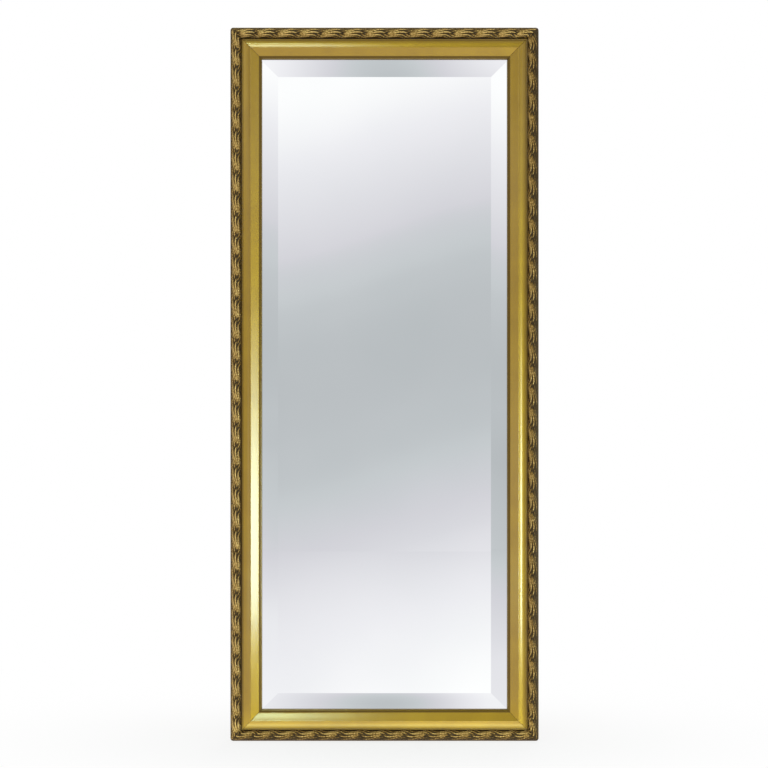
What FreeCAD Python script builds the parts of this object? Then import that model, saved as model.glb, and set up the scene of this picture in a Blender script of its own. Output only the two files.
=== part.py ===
import FreeCAD, Part
import math
import os

# Gilt wall mirror for dressing: a mitred wooden moulding with a pressed leaf band along its outer edge,
# a bevelled mirror plate packed in from behind, and steel hanging hardware on the back.
# Millimetres. The front faces -Y, +X is the viewer's right and +Z is up. The origin is on the wall,
# midway between the two hanging rings.

# Whole frame
frame_width = 560.0
frame_height = 1296.0
outer_corner_radius = 3.5
hanging_drop = 330.0
cut_overrun = 2.0

# Moulding section: widths inward from the outer edge
leaf_bed_width = 21.3
groove_wall_run = 1.0
cove_width = 14.2
slope_width = 15.5
sight_bead_radius = 5.0
rebate_width = 8.0

# Moulding section: heights from the back towards the front, hollows and eased corners
leaf_bed_height = 15.0
groove_depth = 5.5
cove_rise = 4.0
sight_nose = 1.5
cove_hollow = 1.0
slope_hollow = 0.4
arris_round = 0.5
ridge_round = 0.6
back_edge_round = 1.0

# Leaf band: a stilted half-round of pressed composition
leaf_band_inset = 0.6
leaf_band_width = 20.0
leaf_band_height = 12.5

# Mirror plate, and how far the lip covers it on each side
glass_thickness = 6.0
bevel_width = 35.0
bevel_edge_thickness = 2.5
side_cover = 5.5
top_cover = 2.5
bottom_cover = 5.5

# What packs the plate in its rebate
felt_thickness = 1.0
felt_margin = 0.5
felt_gap = 0.05
block_length = 60.0
block_place_share = 0.25
packing_thickness = 2.0
board_thickness = 5.0
board_clearance = 1.0

# Nails across the mitres
v_nail_setbacks = (13.0, 33.0)
v_nail_leg = 7.0
v_nail_sheet = 0.6
v_nail_depth = 8.0
v_nail_sink = 0.2
v_nail_clearance = 0.05

# Corner plates
plate_setback = 9.0
plate_leg = 62.0
plate_width = 15.0
plate_thickness = 1.6
plate_corner_round = 3.0
plate_hole_places = (30.0, 54.0)

# Wood screws: shank, bite in the wood, and slotted round head
shank_radius = 1.7
screw_bite = 10.0
screw_point = 3.0
head_radius = 3.4
head_height = 2.0
slot_width = 0.8
slot_depth = 0.9
slot_turn = 37.0
pilot_clearance = 0.05
hole_clearance = 0.3

# Turn buttons
button_across = 41.0
button_reach = 20.0
button_eye_radius = 6.0
button_tip_radius = 4.5
button_thickness = 1.2
button_float = 0.3
button_running_clearance = 0.08
stile_button_inset = 210.0
stile_button_rows = ("upper", "middle", "lower")

# Hanger straps and D-rings
ring_wire_radius = 1.6
ring_half_width = 9.0
ring_corner_radius = 2.5
ring_side_length = 4.5
eye_clearance = 0.08
eye_end_float = 0.25
strap_layer = 0.9
strap_fold_run = 4.8
strap_length = 31.0
strap_end_round = 4.0
strap_hole_places = (9.5, 24.0)
hanger_axis_across = 44.0

# Wall bumpers
bumper_radius = 8.0
bumper_thickness = 6.5
bumper_edge_round = 1.0
bumper_across = 24.0
bumper_inset = 110.0

# Sizes that follow
half_width = frame_width / 2
half_height = frame_height / 2
centre_height = hanging_drop - half_height
back = -bumper_thickness

groove_top_across = leaf_bed_width + groove_wall_run
ridge_across = groove_top_across + cove_width
slope_end_across = ridge_across + slope_width
moulding_width = slope_end_across + sight_bead_radius
rebate_across = moulding_width - rebate_width

bevel_drop = glass_thickness - bevel_edge_thickness
widest_cover = max(side_cover, top_cover, bottom_cover)
glass_height_at_lip = bevel_edge_thickness + bevel_drop * widest_cover / bevel_width
glass_seat = board_thickness + packing_thickness
rebate_depth = glass_seat + glass_height_at_lip + felt_gap + felt_thickness

arris_height = leaf_bed_height + groove_depth
ridge_height = arris_height + cove_rise
bead_top_height = rebate_depth + sight_nose + sight_bead_radius
bead_bulge = sight_bead_radius * (1 - math.cos(math.pi / 4))
frame_depth = max(leaf_bed_height + leaf_band_height, ridge_height)

glass_left = -half_width + moulding_width - side_cover
glass_right = -glass_left
glass_bottom = centre_height - half_height + moulding_width - bottom_cover
glass_top = centre_height + half_height - moulding_width + top_cover

eye_radius = ring_wire_radius + eye_clearance + strap_layer
strap_thickness = 2 * strap_layer
eye_half_length = ring_half_width - ring_corner_radius - eye_end_float

X_AXIS = FreeCAD.Vector(1, 0, 0)
Y_AXIS = FreeCAD.Vector(0, 1, 0)
Z_AXIS = FreeCAD.Vector(0, 0, 1)
CENTRE = FreeCAD.Vector(0, 0, 0)
corner_sides = {"top_left": (-1, 1), "top_right": (1, 1), "bottom_left": (-1, -1), "bottom_right": (1, -1)}


def box_between(corner, opposite):
    """Box with its edges along the axes, from any two opposite corners."""
    low = FreeCAD.Vector(*[min(pair) for pair in zip(corner, opposite)])
    high = FreeCAD.Vector(*[max(pair) for pair in zip(corner, opposite)])
    size = high - low
    return Part.makeBox(size.x, size.y, size.z, low)


def closed_face(corners):
    """Face with straight or hollowed sides and eased corners.

    A corner is (point, rounding, hollow of the side that follows). The corners run clockwise as seen along
    X, and a hollow goes into the face, or swells out of it where it is negative.
    """
    points = [corner[0] for corner in corners]
    sides = [(points[i + 1 - len(points)] - points[i]).normalize() for i in range(len(points))]
    starts = [point + side * corner[1] for point, side, corner in zip(points, sides, corners)]
    ends = [point - sides[i - 1] * corners[i][1] for i, point in enumerate(points)]
    edges = []
    for i, (point, rounding, hollow) in enumerate(corners):
        side_end = ends[i + 1 - len(points)]
        if rounding:
            half_chord = (starts[i] - ends[i]).Length / 2
            middle = point + ((starts[i] + ends[i]) * 0.5 - point) * (1 / (1 + half_chord / rounding))
            edges.append(Part.Arc(ends[i], middle, starts[i]).toShape())
        if hollow:
            middle = (starts[i] + side_end) * 0.5 + X_AXIS.cross(sides[i]) * hollow
            edges.append(Part.Arc(starts[i], middle, side_end).toShape())
        else:
            edges.append(Part.LineSegment(starts[i], side_end).toShape())
    return Part.Face(Part.Wire(edges))


def frame_outline(inset):
    """The frame's outer outline with its rounded corners, drawn in by an inset, through the whole depth."""
    block = box_between(
        (-half_width + inset, back + cut_overrun, centre_height - half_height + inset),
        (half_width - inset, back - frame_depth - cut_overrun, centre_height + half_height - inset),
    )
    along_depth = [edge for edge in block.Edges if abs(edge.tangentAt(edge.FirstParameter).y) > 0.5]
    return block.makeFillet(outer_corner_radius, along_depth)


def mitred_length(section, half_run, reach, turn, inset):
    """One side of the frame: a section carried along the side and cut at 45 degrees at both ends.

    The section's corners are (width inward, height, rounding, hollow). The side is laid out as the top rail,
    with its outer edge at the reach above the middle, and then turned about Y to its place.
    """
    corners = [
        (FreeCAD.Vector(-half_run, -height, reach - across), rounding, hollow)
        for across, height, rounding, hollow in section
    ]
    bar = closed_face(corners).extrude(X_AXIS * (2 * half_run))
    mitre = Part.makePolygon([
        FreeCAD.Vector(-half_run, cut_overrun, reach),
        FreeCAD.Vector(half_run, cut_overrun, reach),
        FreeCAD.Vector(half_run - moulding_width, cut_overrun, reach - moulding_width),
        FreeCAD.Vector(moulding_width - half_run, cut_overrun, reach - moulding_width),
        FreeCAD.Vector(-half_run, cut_overrun, reach),
    ])
    side = bar.common(Part.Face(mitre).extrude(-Y_AXIS * (frame_depth + 2 * cut_overrun)))
    side.rotate(CENTRE, Y_AXIS, turn)
    side.translate(FreeCAD.Vector(0, back, centre_height))
    return side.common(frame_outline(inset)).Solids[0]


def screw(x, z, grip, number):
    """Slotted round-head wood screw driven into the back of the frame, its head a grip away from the wood."""
    head_edge = FreeCAD.Vector(head_radius, grip, 0)
    head_top = FreeCAD.Vector(0, grip + head_height, 0)
    dome_radius = (head_radius ** 2 + head_height ** 2) / (2 * head_height)
    half_way = math.asin(head_radius / dome_radius) / 2
    head_shoulder = FreeCAD.Vector(
        dome_radius * math.sin(half_way), head_top.y - dome_radius * (1 - math.cos(half_way)), 0
    )
    shank = Part.makePolygon([
        head_top,
        FreeCAD.Vector(0, -screw_bite, 0),
        FreeCAD.Vector(shank_radius, screw_point - screw_bite, 0),
        FreeCAD.Vector(shank_radius, grip, 0),
        head_edge,
    ])
    dome = Part.Arc(head_edge, head_shoulder, head_top).toShape()
    body = Part.Face(Part.Wire(shank.Edges + [dome])).revolve(CENTRE, Y_AXIS, 360)
    slot = box_between(
        (-head_radius - cut_overrun, grip + head_height - slot_depth, -slot_width / 2),
        (head_radius + cut_overrun, grip + head_height + cut_overrun, slot_width / 2),
    )
    slot.rotate(CENTRE, Y_AXIS, slot_turn * number)
    body = body.cut(slot)
    body.translate(FreeCAD.Vector(x, back, z))
    return body


def hole(x, z, radius, depth, height):
    """Round cutter along Y, from a depth in the wood to a height off the back of the frame."""
    return Part.makeCylinder(radius, depth + height, FreeCAD.Vector(x, back - depth, z), Y_AXIS)


def pilot(x, z):
    """Cutter for the hole that a screw bites in."""
    return hole(x, z, shank_radius + pilot_clearance, screw_bite + pilot_clearance, cut_overrun)


def clearance_hole(x, z):
    """Cutter for the hole that a screw passes through in a steel piece on the back."""
    return hole(x, z, shank_radius + hole_clearance, cut_overrun, bumper_thickness)


def corner_point(sides, across):
    """Place on a corner's mitre, as far inward from both outer edges."""
    return sides[0] * (half_width - across), centre_height + sides[1] * (half_height - across)


# Four mitred lengths of moulding, and the leaf band on each
moulding_section = [
    (0, 0, back_edge_round, 0),
    (0, leaf_bed_height, arris_round, 0),
    (leaf_bed_width, leaf_bed_height, 0, 0),
    (groove_top_across, arris_height, arris_round, cove_hollow),
    (ridge_across, ridge_height, ridge_round, slope_hollow),
    (slope_end_across, bead_top_height, 0, -bead_bulge),
    (moulding_width, rebate_depth + sight_nose, 0, 0),
    (moulding_width, rebate_depth, 0, 0),
    (rebate_across, rebate_depth, 0, 0),
    (rebate_across, 0, 0, 0),
]
band_radius = leaf_band_width / 2
band_shoulder = leaf_bed_height + leaf_band_height - band_radius
band_section = [
    (leaf_band_inset, leaf_bed_height, 0, 0),
    (leaf_band_inset, band_shoulder, 0, -band_radius),
    (leaf_band_inset + leaf_band_width, band_shoulder, 0, 0),
    (leaf_band_inset + leaf_band_width, leaf_bed_height, 0, 0),
]
side_layout = {
    "top": ("rail", half_width, half_height, 0),
    "right": ("stile", half_height, half_width, 90),
    "bottom": ("rail", half_width, half_height, 180),
    "left": ("stile", half_height, half_width, 270),
}
parts = {}
mouldings = {}
for side, (kind, half_run, reach, turn) in side_layout.items():
    mouldings[side] = mitred_length(moulding_section, half_run, reach, turn, 0)
    parts[side + "_leaf_band"] = mitred_length(band_section, half_run, reach, turn, leaf_band_inset)

# Bevelled mirror plate: a thin-edged plate with a frustum on its front
plate_back = back - glass_seat
plate = box_between(
    (glass_left, plate_back, glass_bottom),
    (glass_right, plate_back - bevel_edge_thickness, glass_top),
)
bevel_outlines = []
for draw_in, height in ((0, bevel_edge_thickness), (bevel_width, glass_thickness)):
    low = FreeCAD.Vector(glass_left + draw_in, plate_back - height, glass_bottom + draw_in)
    high = FreeCAD.Vector(glass_right - draw_in, plate_back - height, glass_top - draw_in)
    bevel_outlines.append(Part.makePolygon([
        low,
        FreeCAD.Vector(high.x, low.y, low.z),
        high,
        FreeCAD.Vector(low.x, low.y, high.z),
        low,
    ]))
parts["bevelled_mirror"] = plate.fuse(Part.makeLoft(bevel_outlines, True, True)).removeSplitter()

# Felt strips on the back of the lip, the upper and lower ones running through
felt_front = back - rebate_depth
felt_back = felt_front + felt_thickness
felt_outer_x = half_width - rebate_across - felt_margin
felt_outer_z = half_height - rebate_across - felt_margin
felt_strip_width = rebate_width - 2 * felt_margin
felt_inner_x = felt_outer_x - felt_strip_width
felt_inner_z = felt_outer_z - felt_strip_width
felt_strips = []
for sign in (-1, 1):
    felt_strips.append(box_between(
        (-felt_outer_x, felt_front, centre_height + sign * felt_outer_z),
        (felt_outer_x, felt_back, centre_height + sign * felt_inner_z),
    ))
    felt_strips.append(box_between(
        (sign * felt_outer_x, felt_front, centre_height - felt_inner_z),
        (sign * felt_inner_x, felt_back, centre_height + felt_inner_z),
    ))
parts["rebate_felt"] = Part.makeCompound(felt_strips)

# Blocks between the edge of the plate and the rebate, at the quarter points
rebate_half_width = half_width - rebate_across
rebate_bottom = centre_height - half_height + rebate_across
rebate_top = centre_height + half_height - rebate_across
block_front = plate_back - bevel_edge_thickness
rail_block_x = (0.5 - block_place_share) * (glass_right - glass_left)
stile_block_z = (0.5 - block_place_share) * (glass_top - glass_bottom)
glass_middle = (glass_top + glass_bottom) / 2
setting_blocks = []
top_spacers = []
side_spacers = []
for sign in (-1, 1):
    block_start = sign * rail_block_x - block_length / 2
    block_end = block_start + block_length
    setting_blocks.append(box_between(
        (block_start, plate_back, rebate_bottom), (block_end, block_front, glass_bottom)
    ))
    top_spacers.append(box_between(
        (block_start, plate_back, glass_top), (block_end, block_front, rebate_top)
    ))
    for end in (-1, 1):
        spacer_low = glass_middle + end * stile_block_z - block_length / 2
        side_spacers.append(box_between(
            (sign * rebate_half_width, plate_back, spacer_low),
            (sign * glass_right, block_front, spacer_low + block_length),
        ))
parts["setting_blocks"] = Part.makeCompound(setting_blocks)
parts["top_spacers"] = Part.makeCompound(top_spacers)
parts["side_spacers"] = Part.makeCompound(side_spacers)

# Card behind the silvering, and the plywood board that closes the back flush
parts["packing_sheet"] = box_between(
    (glass_left, plate_back, glass_bottom),
    (glass_right, plate_back + packing_thickness, glass_top),
)
board_half_width = rebate_half_width - board_clearance
parts["backboard"] = box_between(
    (-board_half_width, back, rebate_bottom + board_clearance),
    (board_half_width, back - board_thickness, rebate_top - board_clearance),
)


def v_nail(sides, setback, grow):
    """Folded nail across a mitre: a leg into each length, from a point on the mitre, grown all round."""
    x, z = corner_point(sides, setback - grow)
    leg = v_nail_leg + 2 * grow
    sheet = v_nail_sheet + 2 * grow
    rear = back - v_nail_sink + grow
    front = back - v_nail_sink - v_nail_depth - grow
    into_rail = box_between((x, rear, z), (x - sides[0] * leg, front, z - sides[1] * sheet))
    into_stile = box_between((x, rear, z), (x - sides[0] * sheet, front, z - sides[1] * leg))
    return into_rail.fuse(into_stile).removeSplitter()


# Folded nails across the mitres, and the slots that they cut on their way in
v_nails = []
nail_slots = []
for sides in corner_sides.values():
    for setback in v_nail_setbacks:
        v_nails.append(v_nail(sides, setback, 0))
        slot = v_nail(sides, setback, v_nail_clearance)
        slot_mouth = slot.copy()
        slot_mouth.translate(Y_AXIS * (v_nail_sink + v_nail_clearance))
        nail_slots.append(slot.fuse(slot_mouth))
parts["mitre_v_nails"] = Part.makeCompound(v_nails)

# Steel corner plates on the back, each with two screws into each length
pilots = []
plate_screws = []
for corner, sides in corner_sides.items():
    x, z = corner_point(sides, plate_setback)
    rear = back + plate_thickness
    along_rail = box_between((x, back, z), (x - sides[0] * plate_leg, rear, z - sides[1] * plate_width))
    along_stile = box_between((x, back, z), (x - sides[0] * plate_width, rear, z - sides[1] * plate_leg))
    angle = along_rail.fuse(along_stile).removeSplitter()
    upright = [edge for edge in angle.Edges if abs(edge.tangentAt(edge.FirstParameter).y) > 0.5]
    angle = angle.makeFillet(plate_corner_round, upright)
    mid_leg = plate_width / 2
    hole_places = [(x - sides[0] * place, z - sides[1] * mid_leg) for place in plate_hole_places]
    hole_places += [(x - sides[0] * mid_leg, z - sides[1] * place) for place in plate_hole_places]
    for hole_x, hole_z in hole_places:
        angle = angle.cut(clearance_hole(hole_x, hole_z))
        plate_screws.append(screw(hole_x, hole_z, plate_thickness, len(plate_screws)))
        pilots.append(pilot(hole_x, hole_z))
    parts[corner + "_corner_plate"] = angle
parts["corner_plate_screws"] = Part.makeCompound(plate_screws)


def turn_button(x, z, turn):
    """Flat steel button with a round eye at its screw and a narrower round tip over the backboard."""
    lean = math.acos((button_eye_radius - button_tip_radius) / button_reach)
    eye_edge = FreeCAD.Vector(button_eye_radius * math.cos(lean), 0, button_eye_radius * math.sin(lean))
    tip_edge = FreeCAD.Vector(
        button_reach + button_tip_radius * math.cos(lean), 0, button_tip_radius * math.sin(lean)
    )
    eye_below = FreeCAD.Vector(eye_edge.x, 0, -eye_edge.z)
    tip_below = FreeCAD.Vector(tip_edge.x, 0, -tip_edge.z)
    outline = [
        Part.Arc(eye_edge, FreeCAD.Vector(-button_eye_radius, 0, 0), eye_below),
        Part.LineSegment(eye_below, tip_below),
        Part.Arc(tip_below, FreeCAD.Vector(button_reach + button_tip_radius, 0, 0), tip_edge),
        Part.LineSegment(tip_edge, eye_edge),
    ]
    button = Part.Face(Part.Wire([edge.toShape() for edge in outline])).extrude(Y_AXIS * button_thickness)
    button.rotate(CENTRE, Y_AXIS, turn)
    button.translate(FreeCAD.Vector(x, back + button_float, z))
    bore = hole(x, z, shank_radius + button_running_clearance, cut_overrun, bumper_thickness)
    return button.cut(bore)


# Turn buttons round the backboard: a row down each stile, and one in the middle of each rail
button_x = half_width - button_across
button_z = half_height - button_across
row_step = (frame_height - 2 * stile_button_inset) / (len(stile_button_rows) - 1)
button_places = {
    "top_turn_button": (0, centre_height + button_z, 90),
    "bottom_turn_button": (0, centre_height - button_z, 270),
}
for row, row_name in enumerate(stile_button_rows):
    row_z = hanging_drop - stile_button_inset - row * row_step
    button_places["left_" + row_name + "_turn_button"] = (-button_x, row_z, 0)
    button_places["right_" + row_name + "_turn_button"] = (button_x, row_z, 180)
button_screws = []
button_grip = button_float + button_thickness + button_float
for name, (x, z, turn) in button_places.items():
    parts[name] = turn_button(x, z, turn)
    button_screws.append(screw(x, z, button_grip, len(button_screws)))
    pilots.append(pilot(x, z))
parts["turn_button_screws"] = Part.makeCompound(button_screws)


def hanger_strap():
    """Steel strip folded round the ring's bar, laid out for the left stile with the bar at x = 0.

    Its two layers lie flat on the wood, and its eye rests on the wood beside them.
    """
    eye_middle = back + eye_radius
    eye = Part.makeCylinder(
        eye_radius, 2 * eye_half_length, FreeCAD.Vector(0, eye_middle, -eye_half_length), Z_AXIS
    )
    strip = box_between(
        (0, back, -eye_half_length), (-strap_length, back + strap_thickness, eye_half_length)
    )
    end_edges = [
        edge for edge in strip.Edges
        if abs(edge.tangentAt(edge.FirstParameter).y) > 0.5 and edge.CenterOfMass.x < -strap_fold_run
    ]
    strip = strip.makeFillet(strap_end_round, end_edges)
    fold = Part.makePolygon([
        FreeCAD.Vector(0, back, -eye_half_length),
        FreeCAD.Vector(0, back + 2 * eye_radius, -eye_half_length),
        FreeCAD.Vector(-strap_fold_run, back + strap_thickness, -eye_half_length),
        FreeCAD.Vector(-strap_fold_run, back, -eye_half_length),
        FreeCAD.Vector(0, back, -eye_half_length),
    ])
    fold = Part.Face(fold).extrude(Z_AXIS * (2 * eye_half_length))
    bore = Part.makeCylinder(
        ring_wire_radius + eye_clearance,
        2 * eye_half_length + 2 * cut_overrun,
        FreeCAD.Vector(0, eye_middle, -eye_half_length - cut_overrun),
        Z_AXIS,
    )
    strap = eye.multiFuse([strip, fold]).removeSplitter().cut(bore)
    for place in strap_hole_places:
        strap = strap.cut(clearance_hole(-place, 0))
    return strap


def d_ring():
    """Closed wire ring with a straight bar in the eye, laid out for the left stile with the bar at x = 0."""
    level = back + eye_radius
    bar_end = ring_half_width - ring_corner_radius
    side_end = ring_corner_radius + ring_side_length
    slant = math.sqrt(0.5)
    upper = [
        FreeCAD.Vector(0, level, bar_end),
        FreeCAD.Vector(ring_corner_radius * (1 - slant), level, bar_end + ring_corner_radius * slant),
        FreeCAD.Vector(ring_corner_radius, level, ring_half_width),
        FreeCAD.Vector(side_end, level, ring_half_width),
    ]
    lower = [FreeCAD.Vector(point.x, level, -point.z) for point in upper]
    bow_middle = FreeCAD.Vector(side_end + ring_half_width, level, 0)
    path = [
        Part.LineSegment(lower[0], upper[0]),
        Part.Arc(upper[0], upper[1], upper[2]),
        Part.LineSegment(upper[2], upper[3]),
        Part.Arc(upper[3], bow_middle, lower[3]),
        Part.LineSegment(lower[3], lower[2]),
        Part.Arc(lower[2], lower[1], lower[0]),
    ]
    wire_section = Part.Wire(Part.makeCircle(ring_wire_radius, lower[0], Z_AXIS))
    return Part.Wire([edge.toShape() for edge in path]).makePipeShell([wire_section], True, False)


# Hanger straps screwed to the stiles, with their rings lying inward over the backboard
hanger_screws = []
for side, sign, turn in (("left", -1, 0), ("right", 1, 180)):
    axis_x = sign * (half_width - hanger_axis_across)
    for name, shape in (("hanger_strap", hanger_strap()), ("d_ring", d_ring())):
        shape.rotate(CENTRE, Y_AXIS, turn)
        shape.translate(X_AXIS * axis_x)
        parts[side + "_" + name] = shape
    for place in strap_hole_places:
        screw_x = axis_x + sign * place
        hanger_screws.append(screw(screw_x, 0, strap_thickness, len(hanger_screws)))
        pilots.append(pilot(screw_x, 0))
parts["hanger_screws"] = Part.makeCompound(hanger_screws)

# Rubber bumpers that stand the back hardware off the wall
for corner, sides in corner_sides.items():
    bumper_x = sides[0] * (half_width - bumper_across)
    bumper_z = centre_height + sides[1] * (half_height - bumper_inset)
    seat = FreeCAD.Vector(bumper_x, back, bumper_z)
    bumper = Part.makeCylinder(bumper_radius, bumper_thickness, seat, Y_AXIS)
    wall_edge = [edge for edge in bumper.Edges if edge.BoundBox.YMin > back + bumper_thickness / 2]
    parts[corner + "_wall_bumper"] = bumper.makeFillet(bumper_edge_round, wall_edge)

# The moulding is slotted for the nails and bored for every screw
for side, (kind, half_run, reach, turn) in side_layout.items():
    parts[side + "_" + kind] = mouldings[side].cut(nail_slots + pilots)

os.makedirs("parts", exist_ok=True)
for name, shape in parts.items():
    shape.exportStep("parts/" + name + ".step")
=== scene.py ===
import bpy
import numpy as np
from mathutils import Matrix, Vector


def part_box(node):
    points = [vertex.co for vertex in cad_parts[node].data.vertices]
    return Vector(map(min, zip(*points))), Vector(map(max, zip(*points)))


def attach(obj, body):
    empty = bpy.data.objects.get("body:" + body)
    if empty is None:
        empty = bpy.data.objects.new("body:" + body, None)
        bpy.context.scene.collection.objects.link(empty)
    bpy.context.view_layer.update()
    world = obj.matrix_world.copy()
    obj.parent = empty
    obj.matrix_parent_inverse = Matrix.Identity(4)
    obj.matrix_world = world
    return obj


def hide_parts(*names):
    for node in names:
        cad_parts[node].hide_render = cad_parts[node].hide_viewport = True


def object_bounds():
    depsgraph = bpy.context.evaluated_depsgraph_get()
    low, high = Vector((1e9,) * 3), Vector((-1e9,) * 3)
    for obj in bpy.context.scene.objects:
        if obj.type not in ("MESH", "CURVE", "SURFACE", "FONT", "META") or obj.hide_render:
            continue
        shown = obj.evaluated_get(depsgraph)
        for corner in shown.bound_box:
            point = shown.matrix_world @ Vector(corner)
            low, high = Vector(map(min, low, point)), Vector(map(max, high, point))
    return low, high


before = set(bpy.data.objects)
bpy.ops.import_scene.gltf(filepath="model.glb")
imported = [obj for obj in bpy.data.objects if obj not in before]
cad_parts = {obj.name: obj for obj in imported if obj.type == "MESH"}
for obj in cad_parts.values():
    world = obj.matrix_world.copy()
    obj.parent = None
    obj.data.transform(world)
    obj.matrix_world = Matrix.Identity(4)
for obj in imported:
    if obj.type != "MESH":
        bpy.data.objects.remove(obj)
cad_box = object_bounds()

# Moulding: four lengths of softwood run to one section, mitred and glued at the corners. The face has a
# smooth ground, gold leaf and a clear lacquer. The back and the rebate stay bare wood.
mm = 0.001
frame_low, frame_high = cad_box
frame_half_width = frame_high.x
frame_half_height = (frame_high.z - frame_low.z) / 2
middle = frame_low.z + frame_half_height
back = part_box("top_rail")[1].y
corner_radius = 5.5 * mm

# Each side: kind of length, half its run, its reach from the middle, and its turn from the top in degrees
sides = {
    "top": ("rail", frame_half_width, frame_half_height, 0),
    "right": ("stile", frame_half_height, frame_half_width, 90),
    "bottom": ("rail", frame_half_width, frame_half_height, 180),
    "left": ("stile", frame_half_height, frame_half_width, 270),
}

# Each corner of the section in mm: width inward, height from the back, easing, hollow of the side after it
moulding_section = (
    (0.0, 0.0, 1.0, 0.0),
    (0.0, 15.0, 0.5, 0.0),
    (22.2, 15.0, 0.0, 0.0),
    (23.2, 20.5, 0.5, 1.05),
    (37.2, 24.5, 0.6, 0.12),
    (52.6, 16.3, 0.0, -1.1),
    (57.0, 12.6, 0.0, 0.0),
    (57.0, 11.1, 0.0, 0.0),
    (49.0, 11.1, 0.0, 0.0),
    (49.0, 0.0, 0.0, 0.0),
)
bare_from_corner = 7
easing_steps = 5
hollow_steps = 10
moulding_crease = 30

# Share of umber wax and painted shade at places across the face. On the edge beside the leaves it is painted
# shade, which differs by side
wax_and_shade_places = np.array((0.0, 22.2, 23.2, 25.0, 32.0, 51.2, 52.6, 54.6, 57.0)) * mm
painted_edge_shade = {"top": (0.95, 0.45), "right": (0.6, 0.4), "bottom": (0.9, 0.3), "left": (0.15, 0.0)}
wax_and_shade_shares = {side: (0.6, 0.15, *edge, 0.0, 0.0, 0.85, 0.85, 0.5) for side, edge in painted_edge_shade.items()}

# Distances from the mitre where the mesh has its rings, and the dark, slightly open line of the mitre
mitre_stations = np.array((0.0, 0.35, 0.8, 1.3, 1.9, 2.6, 3.5, 30.0)) * mm
mitre_toning = np.array((0.9, 0.45, 0.0, 0.0, 0.0, 0.0, 0.0, 0.0))
mitre_groove = 0.3 * mm
groove_from_height = 12.0 * mm


def section_points(corners):
    """Outline of a section, as (width, height) in metres and the number of the corner each point follows.

    An eased corner is a quadratic curve from the end of one side to the start of the next, pulled to the
    corner. A hollow side leaves its chord by the hollow times four times its share of the way times what is
    left of the way.
    """
    places = np.array([corner[:2] for corner in corners])
    points = []
    owners = []
    for i, (_, _, easing, hollow) in enumerate(corners):
        following = places[(i + 1) % len(corners)]
        side_in = (places[i] - places[i - 1]) / np.linalg.norm(places[i] - places[i - 1])
        side_out = (following - places[i]) / np.linalg.norm(following - places[i])
        start = places[i] + side_out * easing
        run = [start]
        if easing:
            share = np.linspace(0, 1, easing_steps + 1)[:, None]
            last = places[i] - side_in * easing
            run = list((1 - share) ** 2 * last + 2 * share * (1 - share) * places[i] + share ** 2 * start)
        if hollow:
            end = following - side_out * corners[(i + 1) % len(corners)][2]
            share = np.linspace(0, 1, hollow_steps + 1)[1:-1, None]
            inward = np.array((side_out[1], -side_out[0]))
            run += list(start + (end - start) * share + inward * hollow * 4 * share * (1 - share))
        points += run
        owners += [i] * len(run)
    return np.array(points) * mm, np.array(owners)


def corner_sagitta(to_corner):
    """How far the outer edge draws in near the frame's corner: the sagitta of its quarter circle."""
    into = np.clip(corner_radius - to_corner, 0, corner_radius)
    return corner_radius - np.sqrt(corner_radius ** 2 - into ** 2)


def on_side(along, across, height, reach, turn):
    """Points laid out along the top side, turned about the middle of the frame to their own side."""
    up = reach - across
    cos, sin = np.cos(np.radians(turn)), np.sin(np.radians(turn))
    return np.stack((along * cos + up * sin, back - height, middle + up * cos - along * sin), axis=-1)


def skinned_piece(name, rings, materials, crease):
    """Closed skin over rings of points: a quad between neighbours, and a flat cap on the end rings.

    Edges that turn by more than the crease, in degrees, stay sharp.
    """
    count, size = rings.shape[:2]
    index = np.arange(count * size).reshape(count, size)
    beside = np.roll(index, -1, axis=1)
    quads = np.stack((index[:-1], beside[:-1], beside[1:], index[1:]), axis=-1).reshape(-1, 4)
    caps = [index[-1].tolist(), index[0, ::-1].tolist()]
    mesh = bpy.data.meshes.new(name)
    mesh.from_pydata(rings.reshape(-1, 3).tolist(), [], quads.tolist() + caps)
    mesh.shade_smooth()
    mesh.set_sharp_from_angle(angle=np.radians(crease))
    for material in materials:
        mesh.materials.append(material)
    piece = bpy.data.objects.new(name, mesh)
    bpy.context.scene.collection.objects.link(piece)
    return piece


def keep_on_points(piece, name, kind, values):
    """Stores one value or one vector for each point of a piece, for its material to read."""
    field = "vector" if kind == "FLOAT_VECTOR" else "value"
    store = piece.data.attributes.new(name, kind, "POINT")
    store.data.foreach_set(field, np.ravel(values).astype(np.float32))


def to_linear(colour):
    """Linear red, green, blue and alpha of an sRGB hex colour."""
    srgb = np.array([int(colour[i:i + 2], 16) for i in (1, 3, 5)]) / 255
    linear = np.where(srgb <= 0.04045, srgb / 12.92, ((srgb + 0.055) / 1.055) ** 2.4)
    return (*linear.tolist(), 1.0)


def add_node(tree, kind, inputs=None, output=0, stops=None, curve="LINEAR", **settings):
    """Adds a node with its settings and gives one of its outputs, by number or name.

    An input takes a socket as a link, and anything else as its own value. Stops are the places and colours
    of a ramp, and curve is how it runs between them.
    """
    node = tree.nodes.new(kind)
    for name, value in settings.items():
        setattr(node, name, value)
    for key, value in (inputs or {}).items():
        if isinstance(value, bpy.types.NodeSocket):
            tree.links.new(value, node.inputs[key])
        else:
            node.inputs[key].default_value = value
    if stops:
        node.color_ramp.interpolation = curve
        elements = node.color_ramp.elements
        elements[0].position, elements[0].color = stops[0]
        elements[1].position, elements[1].color = stops[-1]
        for place, colour in stops[1:-1]:
            elements.new(place).color = colour
    return node.outputs[output] if node.outputs else None


def new_material(name, finish):
    """Material whose surface is the shader that finish(tree) gives."""
    material = bpy.data.materials.new(name)
    material.use_nodes = True
    tree = material.node_tree
    tree.nodes.clear()
    add_node(tree, "ShaderNodeOutputMaterial", {"Surface": finish(tree)})
    return material


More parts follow.
